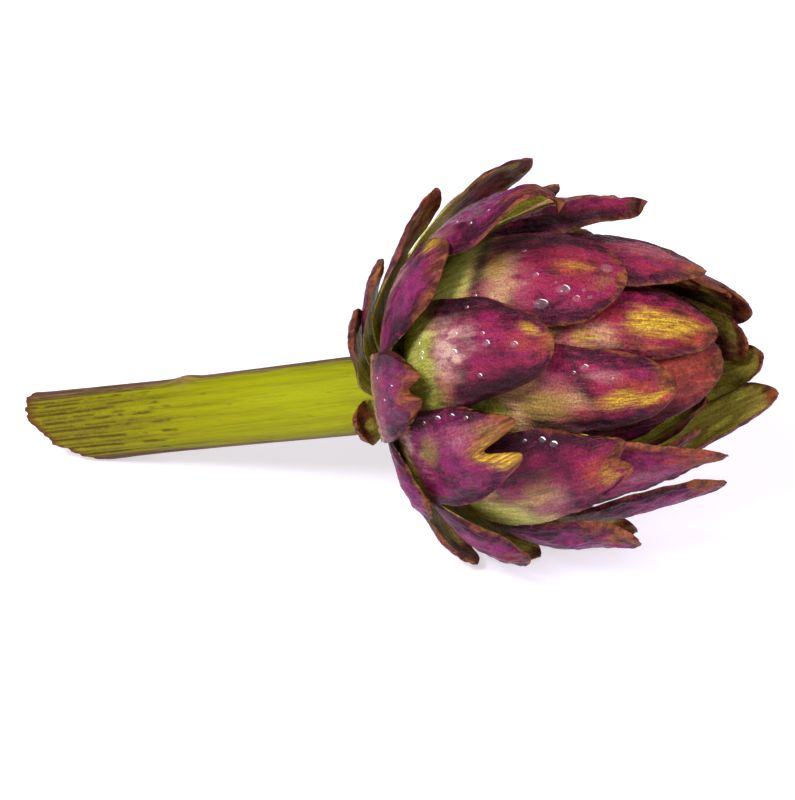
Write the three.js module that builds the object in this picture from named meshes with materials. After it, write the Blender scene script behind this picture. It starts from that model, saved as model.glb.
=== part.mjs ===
// An artichoke lying on its side: a cut stem that widens into the heart, and
// the overlapping bracts of the head, each one its own piece.
//
// Millimetres and degrees, +Z up. The head is described about its own axis,
// which runs from the stem joint to the tip of the head:
//   turn   goes round the axis, 0 at the top, 90 on the near side (-Y), 180 below
//   under  is the angle at the head centre, 0 at the tip of the head, 180 at the stem
import * as THREE from 'three';

// --- how the artichoke lies ---
const AXIS_RISE = 16.5;            // the axis climbs from the cut end of the stem to the tip
const JOINT_HEIGHT = 29.5;        // stem joint above the table
const LEAST_OVER_FLAT = 0.7;      // flesh left over the small flat spots it rests on

// --- stem and heart, profile along the axis from the stem joint ---
const CUT_MIDDLE = -86;           // cut end of the stem
const CUT_SLANT = 9.5;             // the cut reaches further along the top
const STEM_PROFILE = [[-60, 8.9], [-35, 9.1], [-8, 9.3], [2, 8.6], [8, 9.1], [14, 10.1],
  [18, 12.4], [21, 13.4], [24, 13.0], [27, 11.2], [29.5, 7.5]];
const CUT_RADIUS = 8.8;
const HEART_TOP = 30.8;
const STEM_SIDES = 28;

// --- outline of the closed head: [under, radius from the head centre] ---
const HEAD_CENTRE = 38;           // from the stem joint along the axis
const HEAD_OUTLINE = [[0, 50.5], [20, 47], [40, 43], [60, 42], [90, 43], [120, 44],
  [140, 43], [160, 40], [180, 38]];

// --- how bracts nest ---
const LAYER_STEP = 0.0042;        // share of the outline lost for each degree beneath the tip
const ROOT_ANGLES = [[10, 125], [60, 149], [100, 159], [135, 165]];   // [tip, root] angles
const WIDEST_AT = 0.58;           // share of the length where a bract is widest
const CORNER_BACK = 0.24;         // how far the corners of the tip are rounded back, share of its width
const LIFT_FULL = 0.35, LIFT_GONE = 0.75;
const RIB_THICK = 1.6, EDGE_THICK = 0.8;
const ROWS_LONG = 9, ROWS_WIDE = 4;

// What a bract has unless its own entry says otherwise. Lengths in mm.
const PLAIN = {
  base: 0.7,       // width at the root as a share of the widest
  blunt: 0.35,     // width at the tip as a share of the widest
  fat: 0.9,        // how long the sides stay wide before the tip
  notch: 0,        // depth of the split in the tip, share of the length
  notchWide: 0.35,
  flare: 0,        // how far the tip stands off the head
  flareOver: 35,   // degrees of the bract that bend outwards
  lift: 0,         // raises the lower half off the layer beneath
  sink: 0,         // presses the whole bract inwards
  tilt: 0,         // raises one edge and lowers the other, at the tip
  mostTurn: 25,    // half of the most a root wraps round the heart
};
const ROOT_FREE = 0.75;           // share of the length past which that limit has gone

const RESTING = { half: 10.5, blunt: 0.5, flare: -0.9, flareOver: 12, mostTurn: 18 };

const OUTER_BRACTS = [
  // small bracts round the stem
  { name: 'bract_a1', turn: 1, rootTurn: 8.5, tip: 100.5, half: 8.8, blunt: 0.27, flare: 5.6,
    flareOver: 31, lift: 3.08, tilt: 1.7 },
  { name: 'bract_a2', turn: 14, rootTurn: 22, tip: 122, half: 7.5, blunt: 0.3, lift: 1.6 },
  { name: 'bract_a3', turn: 29, rootTurn: 44, tip: 134, half: 6.3, lift: 2.15 },
  { name: 'bract_a4', turn: 86, rootTurn: 95, tip: 146, half: 6 },
  // lower bracts
  { name: 'bract_b1', turn: 24, rootTurn: 39, tip: 94, half: 10, base: 0.8, blunt: 0.55, fat: 1.3,
    flare: 1.2, lift: 1.3, tilt: -1.2 },
  { name: 'bract_b2', turn: 64, rootTurn: 68, tip: 101.5, half: 10.2, base: 0.85, blunt: 0.5,
    notch: 0.11, lift: 2.2 },
  { name: 'bract_b3', turn: 81.8, rootTurn: 96, tip: 75, half: 12.5, blunt: 0.44, fat: 0.63,
    notch: 0.19, lift: 0.9 },
  { name: 'bract_b4', turn: 106, rootTurn: 107, tip: 113, half: 9, base: 0.8, blunt: 0.41, lift: 1.55 },
  { name: 'bract_b5', turn: 131, rootTurn: 119, tip: 88.6, half: 10.4, blunt: 0.53, flare: -0.4,
    lift: 0.25, tilt: 1.5 },
  { name: 'bract_b6', turn: 146, rootTurn: 148, tip: 111, half: 8.2, blunt: 0.2, flare: 0.4,
    lift: 0.3 },
  { name: 'bract_b7', turn: 142.8, rootTurn: 133.8, tip: 57.8, half: 9.5, blunt: 0.43, fat: 1,
    flare: 5.7, flareOver: 17, lift: 0.6, tilt: 2.2 },
  { name: 'bract_b8', turn: 178, rootTurn: 174, tip: 70, half: 9, flare: 2 },
  // the two lowest bracts, which the head rests on
  { name: 'bract_rest_1', turn: 162, rootTurn: 163, tip: 97, ...RESTING, lift: 0.9 },
  { name: 'bract_rest_2', turn: -161, rootTurn: -153, tip: 97, ...RESTING, lift: 1.5 },
  // middle bracts, the broad ones
  { name: 'bract_c1', turn: 9, rootTurn: -20, tip: 66, half: 17.5, blunt: 0.48, fat: 1.6,
    flare: 7.2, flareOver: 85, lift: 1.7, tilt: 2.8 },
  { name: 'bract_c2', turn: -33, rootTurn: -22, tip: 86, half: 7.8, blunt: 0.55, flare: 6.8,
    flareOver: 66, lift: 2.85, tilt: 0.8 },
  { name: 'bract_c3', turn: 25.1, rootTurn: 25.5, tip: 41.8, half: 14, blunt: 0.56, fat: 1.09,
    lift: -0.65 },
  { name: 'bract_c4', turn: 54.6, rootTurn: 50.4, tip: 62.4, half: 12.5, blunt: 0.34, fat: 0.81,
    lift: 1.1 },
  { name: 'bract_c5', turn: 77, rootTurn: 60, tip: 28.5, half: 10.1, base: 0.55, blunt: 0.41,
    fat: 1.2 },
  { name: 'bract_c6', turn: 98.8, rootTurn: 104, tip: 45.7, half: 13.9, blunt: 0.4, fat: 0.5,
    notch: 0.07, flare: 2.5 },
  { name: 'bract_c7', turn: 120.5, rootTurn: 100, tip: 27.6, half: 12.5, base: 0.5, blunt: 0.15,
    fat: 0.83, flare: 8, flareOver: 24, tilt: -1.5 },
  { name: 'bract_c8', turn: 167, rootTurn: 159, tip: 31.8, half: 13, blunt: 0.24, fat: 0.97,
    flare: 6.2, flareOver: 28, tilt: 0.24 },
  { name: 'bract_c9', turn: 157, tip: 22, half: 8, flare: 2, sink: 3.2 },
  { name: 'bract_c10', turn: -44, rootTurn: -39.5, tip: 82, half: 6.8, flare: 3, lift: 1.08 },
  // upper bracts, round the tip of the head
  { name: 'bract_d1', turn: 0.6, rootTurn: 12, tip: 23.6, half: 11.9, blunt: 0.5, fat: 1.25,
    flare: 3.2, lift: 1, tilt: 1.6 },
  { name: 'bract_d2', turn: 39.9, rootTurn: 40.3, tip: 14, half: 11.5, blunt: 0.23, fat: 1.04,
    flare: 0.6, sink: 0.5 },
  { name: 'bract_d3', turn: 72.3, rootTurn: 82, tip: 7.8, half: 11.6, blunt: 0.54, flare: -0.6,
    sink: 2.7 },
  { name: 'bract_d4', turn: -104, tip: 17, half: 9, blunt: 0.5, sink: 2.8 },
  { name: 'bract_d5', turn: -72, tip: 15, half: 10, blunt: 0.5, flare: 3 },
  { name: 'bract_d6', turn: -46, tip: 16, half: 9, blunt: 0.4, flare: 3, sink: 2.6 },
  { name: 'bract_d7', turn: -130, tip: 14, half: 9, blunt: 0.5, flare: 2, sink: 0.6 },
  { name: 'bract_d8', turn: -152.3, rootTurn: -176.3, tip: 19, half: 10.2, blunt: 0.42, fat: 1.03,
    flare: 10.3, flareOver: 20.2, lift: 0.3, tilt: 2.15 },
  { name: 'bract_d9', turn: -3, rootTurn: -12, tip: 46, half: 10.2, blunt: 0.3, fat: 0.8,
    flare: 8.4, flareOver: 38, lift: 1.6, sink: -0.2, tilt: -1.6 },
  { name: 'bract_d10', turn: -38, rootTurn: -44, tip: 60, half: 9, blunt: 0.2, flare: 2.5, lift: 1 },
  { name: 'bract_d11', turn: -20, tip: 28, half: 9, blunt: 0.4, sink: 2.6 },
  { name: 'bract_d12', turn: -38, tip: 21, half: 8, blunt: 0.3, flare: 2, sink: 5.7 },
];

// Rings of bracts that go round the far side of the head.
const FAR_RINGS = [
  { tip: 124, turn: -44, step: -52, count: 3, half: 9, lift: 0.4 },
  { tip: 108, turn: -72, step: -46, count: 2, half: 10.5, lift: 0.9 },
  { tip: 92, turn: -78, step: -47, count: 2, half: 11.5, lift: 0.4 },
  { tip: 77, turn: -70, step: -52, count: 2, half: 12, lift: 0.4 },
  { tip: 61, turn: -92, step: -46, count: 2, half: 12 },
  { tip: 46, turn: -76, step: -48, count: 2, half: 11.5 },
  { tip: 31, turn: -62, step: -45, count: 2, half: 10 },
];
const FAR_SHAPE = { blunt: 0.4, fat: 1.1, mostTurn: 21 };

// The innermost bracts, closed over the middle of the head.
const BUD_BRACTS = [
  { turn: 62, tip: 10, half: 9, sink: 5.5 },
  { turn: -176, tip: 11, half: 9, sink: 6 },
  { turn: -66, tip: 10, half: 9, sink: 6.6 },
  { turn: 2, tip: 5, half: 8, sink: 8.6 },
  { turn: 118, tip: 4, half: 8, sink: 10.2 },
  { turn: -122, tip: 5, half: 8, sink: 11.8 },
];
const BUD_SHAPE = { blunt: 0.45, fat: 1, mostTurn: 22 };

const STEM_COLOUR = '#8f9a2e';
const BRACT_COLOURS = [[0, '#8a3a4a'], [30, '#7d2a55'], [70, '#65204f'], [150, '#5a2350']];

const radians = THREE.MathUtils.degToRad;
const clamp = THREE.MathUtils.clamp;

const along = new THREE.Vector3(Math.cos(radians(AXIS_RISE)), 0, Math.sin(radians(AXIS_RISE)));
const upward = new THREE.Vector3(-along.z, 0, along.x);
const nearward = new THREE.Vector3(0, -1, 0);

/** Point at `a` along the axis and `r` from it, `turn` degrees round. */
function place(a, r, turn) {
  return new THREE.Vector3(0, 0, JOINT_HEIGHT)
    .addScaledVector(along, a)
    .addScaledVector(upward, r * Math.cos(radians(turn)))
    .addScaledVector(nearward, r * Math.sin(radians(turn)));
}

/** Value of a table of [x, y] pairs on straight lines between them. */
function straightBetween(table, x) {
  const last = table.length - 1;
  if (x <= table[0][0]) return table[0][1];
  if (x >= table[last][0]) return table[last][1];
  const i = table.findIndex(([end]) => end > x) - 1;
  const [[x0, y0], [x1, y1]] = [table[i], table[i + 1]];
  return y0 + (y1 - y0) * (x - x0) / (x1 - x0);
}

/** Radius of the closed head, a smooth curve through HEAD_OUTLINE. */
function outlineRadius(under) {
  const table = HEAD_OUTLINE;
  const last = table.length - 1;
  const x = clamp(under, 0, 180);
  const i = Math.min(table.findIndex(([end]) => end > x) - 1 + (x >= 180 ? last + 1 : 0), last - 1);
  const slope = k => (k === 0 || k === last) ? 0
    : (table[k + 1][1] - table[k - 1][1]) / (table[k + 1][0] - table[k - 1][0]);
  const [[x0, y0], [x1, y1]] = [table[i], table[i + 1]];
  const span = x1 - x0;
  const t = (x - x0) / span;
  return (2 * t ** 3 - 3 * t ** 2 + 1) * y0 + (t ** 3 - 2 * t ** 2 + t) * span * slope(i)
    + (3 * t ** 2 - 2 * t ** 3) * y1 + (t ** 3 - t ** 2) * span * slope(i + 1);
}

/** Half width of a bract, as a share of its widest, at a share of its length. */
function widthShare(b, u) {
  if (u < WIDEST_AT) return b.base + (1 - b.base) * Math.sin(u / WIDEST_AT * Math.PI / 2);
  const x = (u - WIDEST_AT) / (1 - WIDEST_AT);
  return 1 - (1 - b.blunt) * x ** (1 + 1.6 * b.fat);
}

/** Point of a bract: u from root to tip, v from -1 to 1 across, `depth` below its outer face. */
function bractPoint(b, u, v, depth) {
  const root = straightBetween(ROOT_ANGLES, b.tip);
  const rootTurn = b.rootTurn ?? b.turn;
  const back = b.notch * Math.exp(-((v / b.notchWide) ** 2)) + CORNER_BACK * b.blunt * Math.abs(v) ** 3.5;
  const reach = u - u ** 6 * back;
  const under = root + (b.tip - root) * reach;
  const bend = clamp((b.tip + b.flareOver - under) / b.flareOver, 0, 1.3);
  const raised = clamp((LIFT_GONE - u) / (LIFT_GONE - LIFT_FULL), 0, 1);
  const rho = outlineRadius(under) * (1 - LAYER_STEP * (under - b.tip))
    - b.sink + b.lift * raised + b.flare * bend ** 2 + b.tilt * v * u * u;
  const round = Math.max(rho * Math.sin(radians(under)), 3);
  const most = b.mostTurn + 90 * clamp((u - LIFT_FULL) / (ROOT_FREE - LIFT_FULL), 0, 1);
  const halfTurn = Math.min(THREE.MathUtils.radToDeg(b.half * widthShare(b, u) / round), most);
  const turn = rootTurn + (b.turn - rootTurn) * clamp(reach, 0, 1) ** 1.2 + v * halfTurn;
  const a = HEAD_CENTRE + (rho - depth) * Math.cos(radians(under));
  return place(a, (rho - depth) * Math.sin(radians(under)), turn);
}

/** Closed mesh from a grid of outer points and a grid of inner points. */
function shellBetween(outer, inner) {
  const long = outer.length - 1;
  const wide = outer[0].length - 1;
  const corners = [...outer.flat(), ...inner.flat()];
  const count = (long + 1) * (wide + 1);
  const id = (i, j) => i * (wide + 1) + j;
  const faces = [];
  for (let i = 0; i < long; i++) {
    for (let j = 0; j < wide; j++) {
      const [p, q, r, s] = [id(i, j), id(i, j + 1), id(i + 1, j + 1), id(i + 1, j)];
      faces.push(p, q, r, p, r, s);
      faces.push(p + count, r + count, q + count, p + count, s + count, r + count);
    }
  }
  const rim = (p, q) => faces.push(q, p, p + count, q, p + count, q + count);
  for (let j = 0; j < wide; j++) {
    rim(id(0, j), id(0, j + 1));
    rim(id(long, j + 1), id(long, j));
  }
  for (let i = 0; i < long; i++) {
    rim(id(i, wide), id(i + 1, wide));
    rim(id(i + 1, 0), id(i, 0));
  }
  return closedGeometry(corners, faces);
}

function closedGeometry(corners, faces) {
  const geometry = new THREE.BufferGeometry().setFromPoints(corners);
  geometry.setIndex(faces);
  geometry.computeVertexNormals();
  return geometry;
}

/** One bract, pressed flat where it would go through the table. */
function bractGeometry(b) {
  const outer = [];
  const inner = [];
  for (let i = 0; i <= ROWS_LONG; i++) {
    const outerRow = [];
    const innerRow = [];
    for (let j = 0; j <= ROWS_WIDE; j++) {
      const [u, v] = [i / ROWS_LONG, -1 + 2 * j / ROWS_WIDE];
      const thick = EDGE_THICK + (RIB_THICK - EDGE_THICK) * (1 - v * v) * (1 - 0.45 * u);
      const outside = bractPoint(b, u, v, 0);
      const inside = bractPoint(b, u, v, thick);
      outside.z = Math.max(outside.z, 0);
      inside.z = Math.max(inside.z, LEAST_OVER_FLAT);
      outerRow.push(outside);
      innerRow.push(inside);
    }
    outer.push(outerRow);
    inner.push(innerRow);
  }
  return shellBetween(outer, inner);
}

/** Stem and heart, one piece: rings of points from the slanted cut to the top of the heart. */
function stemGeometry() {
  const sides = STEM_SIDES;
  const corners = [place(CUT_MIDDLE, 0, 0)];
  const ring = profile => {
    for (let k = 0; k < sides; k++) {
      const turn = 360 * k / sides;
      const [a, r] = profile(turn);
      const point = place(a, r, turn);
      point.z = Math.max(point.z, 0);
      corners.push(point);
    }
  };
  ring(turn => [CUT_MIDDLE - CUT_SLANT * Math.cos(radians(turn)), CUT_RADIUS]);
  for (const [a, r] of STEM_PROFILE) ring(() => [a, r]);
  corners.push(place(HEART_TOP, 0, 0));
  const faces = [];
  const top = corners.length - 1;
  const rings = STEM_PROFILE.length + 1;
  for (let k = 0; k < sides; k++) {
    const next = (k + 1) % sides;
    faces.push(0, 1 + next, 1 + k);
    for (let n = 0; n < rings - 1; n++) {
      const [low, high] = [1 + n * sides, 1 + (n + 1) * sides];
      faces.push(low + k, high + next, high + k, low + k, low + next, high + next);
    }
    const last = 1 + (rings - 1) * sides;
    faces.push(last + k, last + next, top);
  }
  return closedGeometry(corners, faces);
}

function bractColour(tip) {
  const k = Math.max(1, BRACT_COLOURS.findIndex(([end]) => end >= tip));
  const [[t0, c0], [t1, c1]] = [BRACT_COLOURS[k - 1], BRACT_COLOURS[k]];
  return new THREE.Color(c0).lerp(new THREE.Color(c1), (tip - t0) / (t1 - t0));
}

function named(name, geometry, colour, roughness) {
  const material = new THREE.MeshStandardMaterial({ color: colour, roughness, metalness: 0 });
  const mesh = new THREE.Mesh(geometry, material);
  mesh.name = name;
  return mesh;
}

const artichoke = new THREE.Group();
artichoke.name = 'artichoke';
artichoke.add(named('stem_and_heart', stemGeometry(), STEM_COLOUR, 0.55));

const farBracts = FAR_RINGS.flatMap(({ count, step, ...ring }, row) =>
  Array.from({ length: count }, (_, k) => (
    { ...FAR_SHAPE, ...ring, turn: ring.turn + step * k, name: `bract_far_${row + 1}${'abc'[k]}` })));
const budBracts = BUD_BRACTS.map((b, k) => ({ ...BUD_SHAPE, ...b, name: `bract_bud_${k + 1}` }));
for (const given of [...OUTER_BRACTS, ...farBracts, ...budBracts]) {
  const b = { ...PLAIN, ...given };
  artichoke.add(named(b.name, bractGeometry(b), bractColour(b.tip), 0.45));
}

// The origin is on the table, below the middle of the whole artichoke.
const middle = new THREE.Box3().setFromObject(artichoke).getCenter(new THREE.Vector3());
for (const mesh of artichoke.children) mesh.geometry.translate(-middle.x, -middle.y, 0);

export default artichoke;
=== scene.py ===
import math

import bpy
import numpy as np
from mathutils import Matrix, Vector


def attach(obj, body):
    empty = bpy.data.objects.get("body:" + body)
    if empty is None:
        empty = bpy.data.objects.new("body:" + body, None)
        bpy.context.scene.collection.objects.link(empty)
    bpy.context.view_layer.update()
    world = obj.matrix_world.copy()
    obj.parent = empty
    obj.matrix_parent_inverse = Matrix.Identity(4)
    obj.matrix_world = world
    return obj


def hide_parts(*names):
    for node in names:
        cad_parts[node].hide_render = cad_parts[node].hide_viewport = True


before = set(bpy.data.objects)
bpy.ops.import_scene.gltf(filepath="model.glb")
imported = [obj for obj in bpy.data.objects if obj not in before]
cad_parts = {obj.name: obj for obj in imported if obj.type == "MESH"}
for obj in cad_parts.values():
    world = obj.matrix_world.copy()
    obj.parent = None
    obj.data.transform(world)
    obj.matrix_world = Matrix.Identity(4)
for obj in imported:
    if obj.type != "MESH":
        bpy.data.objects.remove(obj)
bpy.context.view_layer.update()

# --------------------------------------------------------------------------
# Where the artichoke lies and how its bracts nest, the same rule as in the CAD,
# in mm and degrees. The head's own axes run along it, upwards and towards the
# near side. An angle `under` is counted from the tip of the head.
# --------------------------------------------------------------------------
AXIS_RISE = math.radians(16.5)
JOINT = np.array([0.4004, -0.7338, 29.5])
ALONG = np.array([math.cos(AXIS_RISE), 0.0, math.sin(AXIS_RISE)])
UPWARD = np.array([-ALONG[2], 0.0, ALONG[0]])
NEARWARD = np.array([0.0, -1.0, 0.0])
HEAD_CENTRE = 38.0                    # along the axis from the stem joint
HEAD_OUTLINE = np.array([[0, 50.5], [20, 47], [40, 43], [60, 42], [90, 43], [120, 44],
                         [140, 43], [160, 40], [180, 38]])
LAYER_STEP = 0.0042                   # share of the radius lost with each degree under a tip
ROOT_ANGLES = np.array([[10, 125], [60, 149], [100, 159], [135, 165]])   # of the tip, of the root
WIDEST_AT = 0.58                      # share of a bract's length
CORNER_BACK = 0.24                    # how far the corners of a split tip stand back
LIFT_FULL, LIFT_GONE, ROOT_FREE = 0.35, 0.75, 0.75   # shares of the length
LEAST_OVER_FLAT = 0.7                 # over the table
RIB_THICK, EDGE_THICK = 1.45, 0.42    # of a bract, along its middle and at its rim
ROWS_LONG, ROWS_WIDE = 88, 56         # faces along and across a bract

# What a bract has unless its own entry says otherwise; lengths in mm, angles in degrees.
#   base, blunt, fat      widths at the root and the tip as shares of the widest; how long it stays wide
#   notch, notch_wide     depth and width of the split in the tip
#   flare, flare_over     how far the tip stands off the head, and over how many degrees
#   lift, sink, tilt      raises the lower half; presses it all inwards; raises one edge of the tip
#   most, longer          half of the most a root wraps round; how much further back the root reaches
#   wave, keel, crown     rippled edges, edges bent down, plump middle
#   crumple, ragged, bead wrinkles, uneven edges, rolled rim
#   pinch, knob           narrows the tip towards one edge; a dried knob on its end
#   green, skew, band     where the green root ends, on what slant, and how pale the band above it is
#   violet, red, brown    the colour of the skin, and how far down the browned tip reaches
#   fine                  False where half the points are enough
PLAIN = dict(base=0.7, blunt=0.35, fat=0.9, notch=0.0, notch_wide=0.35, flare=0.0,
             flare_over=35.0, lift=0.0, sink=0.0, tilt=0.0, most=25.0,
             wave=0.3, keel=0.0, crown=1.7, crumple=0.4, ragged=0.03, pinch=0.0,
             knob=0.0, bead=0.4, longer=0.0, fine=True,
             green=0.45, skew=0.0, violet=0.5, red=0.2, brown=0.07, band=0.85)
RESTING = dict(half=10.5, blunt=0.5, flare=-0.9, flare_over=12, most=18, crumple=0.0, crown=0.0, wave=0.0,
               fine=False)


def bract(turn, root, tip, half, **more):
    """A bract by the turn of its tip and of its root, the angle of its tip and half its width."""
    return {**PLAIN, "turn": turn, "root": turn if root is None else root,
            "tip": tip, "half": half, **more}


BRACTS = {
    # small bracts round the stem
    "a1": bract(1, 8.5, 100.5, 8.8, blunt=0.27, flare=5.6, lift=3.08, tilt=1.7, flare_over=31, green=0.5,
                violet=0.6, brown=0.25),
    "a2": bract(14, 22, 122, 7.5, blunt=0.3, lift=1.6, green=0.3, brown=0.2),
    "a3": bract(29, 44, 134, 6.3, lift=2.15, green=0.2, brown=0.5),
    "a4": bract(86, 95, 150, 5.6, green=0.2, brown=0.9),
    # lower bracts
    "b1": bract(24, 39, 94, 10, blunt=0.55, fat=1.3, base=1.05, most=42, lift=1.3, tilt=-1.2, flare=1.2,
                green=0.3, violet=0.7, brown=0.06),
    "b2": bract(64, 68, 101.5, 10.2, blunt=0.5, base=0.85, notch=0.11, lift=2.2, green=0.4, violet=0.7,
                brown=0.1, bead=0.8),
    "b3": bract(81.8, 103, 75, 12.5, blunt=0.68, fat=0.75, notch=0.15, notch_wide=0.25, base=1.25,
                longer=9, most=50, lift=3.0, green=0.3, violet=0.6, brown=0.05, bead=0.9),
    "b4": bract(105, 106, 112, 10.8, base=0.9, lift=0.2, sink=1.8, blunt=0.41, green=0.2, violet=0.9,
                brown=0.12),
    "b5": bract(131, 133, 88.6, 10.4, blunt=0.53, lift=0.25, flare=-0.4, tilt=1.5, green=0.35, violet=0.9,
                brown=0.04),
    "b6": bract(146, 148, 111, 8.2, blunt=0.2, flare=0.4, lift=0.3, green=0.2, brown=0.3),
    "b7": bract(138, 148, 57.8, 9.5, blunt=0.43, flare=4.6, lift=0.6, fat=1, tilt=2.2, flare_over=17,
                green=0.3, violet=0.95, brown=0.09),
    "b8": bract(178, 174, 70, 9, flare=2, green=0.6, brown=0.15),
    "rest_1": bract(162, 163, 97, **RESTING, lift=0.9),
    "rest_2": bract(-161, -153, 97, **RESTING, lift=1.5),
    # middle bracts
    "c1": bract(12, -14, 66, 15.8, base=0.95, longer=6, most=40, blunt=0.3, fat=1.4, flare=7.2, lift=4.2,
                tilt=2.8, flare_over=85, green=0.46, violet=0.7, red=0.1, brown=0.03, pinch=0.5,
                knob=1.3),
    "c2": bract(-33, -22, 86, 7.8, blunt=0.55, flare=6.8, flare_over=66, lift=2.85, tilt=0.8, green=0.55,
                violet=0.3, brown=0.1),
    "c3": bract(25.1, 25.5, 41.8, 14, base=1.05, longer=8, most=45, blunt=0.56, fat=1.09, lift=2.8,
                green=0.5, skew=-0.03, violet=0.2, red=0.7, brown=0.05),
    "c4": bract(54.6, 50.4, 62.4, 12.5, blunt=0.34, fat=0.81, base=1.05, longer=9, most=45, lift=1.1,
                green=0.55, skew=0.08, band=0.3, violet=0.3, red=0.55, brown=0.03),
    "c5": bract(77, 60, 28.5, 10.1, blunt=0.41, fat=1.2, base=0.55, green=0.5, skew=0.05, violet=0.2,
                red=0.7, brown=0.06),
    "c6": bract(98.8, 112, 45.7, 13.9, lift=2.5, blunt=0.5, fat=0.6, notch=0.045, notch_wide=0.4,
                flare=2.5, base=1.15, most=45, green=0.42, skew=0.2, violet=0.3, red=0.5, brown=0.06),
    "c7": bract(120.5, 100, 27.6, 12.5, blunt=0.15, fat=0.83, flare=8, tilt=-1.5, flare_over=24, base=0.5,
                green=0.45, violet=0.6, red=0.6, brown=0.05),
    "c8": bract(151.5, 163, 32.5, 11, blunt=0.24, flare=5.9, flare_over=28, fat=0.97, tilt=2.2, green=0.5,
                violet=0.7, red=0.2, brown=0.08),
    "c9": bract(157, None, 22, 8, sink=6.5),
    "c10": bract(-44.0, -39.5, 82, 6.8, flare=3, lift=1.08),
    # upper bracts
    "d1": bract(0.6, 12, 23.6, 11.9, blunt=0.5, fat=1.25, flare=3.2, lift=1, tilt=1.6, green=0.5,
                violet=0.2, red=0.8, brown=0.05),
    "d2": bract(39.9, 40.3, 14, 11.5, blunt=0.23, fat=1.04, sink=0.5, flare=0.6, green=0.5, violet=0.1,
                red=1, brown=0.04),
    "d3": bract(72.3, 82, 7.8, 11.6, blunt=0.54, sink=2.7, flare=-0.6, green=0.5, violet=0, red=1,
                brown=0.05),
    "d4": bract(-96, None, 8, 9, blunt=0.5, sink=-0.5, flare=-1.5, green=0.6, red=0.6, brown=0.06),
    "d5": bract(-72, None, 15, 10, blunt=0.5, flare=3, green=0.6, red=0.6, brown=0.1),
    "d6": bract(-46, None, 16, 9, blunt=0.4, flare=3, sink=2.6),
    "d7": bract(-128, None, 9, 7.5, blunt=0.5, flare=2.5, sink=0.2, brown=0.03),
    "d8": bract(-158, -165, 14.7, 10.2, flare=6.7, flare_over=20.2, lift=0.3, blunt=0.42, fat=1.03,
                tilt=-0.6, green=0.5, violet=0.6, red=0.3, brown=0.03),
    "d9": bract(-3, -34, 46, 10.2, blunt=0.18, fat=0.8, flare=8.4, flare_over=38, tilt=-1.6, green=0.4,
                violet=0.2, red=0.6, brown=0.04, pinch=0.25, knob=1.4, keel=1.6, sink=-0.2),
    "d10": bract(-38, -54, 60, 9, blunt=0.2, flare=2.5, lift=1.0, green=0.7, brown=0.2),
    "d11": bract(-20, None, 28, 9, blunt=0.4, sink=2.6),
    "d12": bract(-38, None, 21, 8, blunt=0.3, flare=2, sink=5.7),
}
# Rings on the far side: tip, first turn, step, how many, half, lift.
FAR_RINGS = [(124, -44, -52, 3, 9, 0.4), (108, -72, -46, 2, 10.5, 0.9), (92, -78, -47, 2, 11.5, 0.4),
             (77, -70, -52, 2, 12, 0.4), (61, -92, -46, 2, 12, 0), (46, -76, -48, 2, 11.5, 0),
             (31, -62, -45, 2, 10, 0)]
for row, (tip, turn, step, count, half, lift) in enumerate(FAR_RINGS, 1):
    for k in range(count):
        BRACTS[f"far_{row}{'abc'[k]}"] = bract(turn + step * k, None, tip, half, blunt=0.4,
                                               fat=1.1, most=21, lift=lift, fine=False)
# Bracts closed over the middle: turn, tip, half, sink.
BUD = [(62, 10, 9, 5.5), (-176, 15, 8, 8.5), (-66, 10, 9, 6.6), (2, 5, 8, 8.6), (118, 4, 8, 10.2),
       (-122, 5, 8, 11.8)]
for k, (turn, tip, half, sink) in enumerate(BUD, 1):
    BRACTS[f"bud_{k}"] = bract(turn, None, tip, half, blunt=0.45, fat=1, most=22, sink=sink,
                               fine=False)


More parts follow.
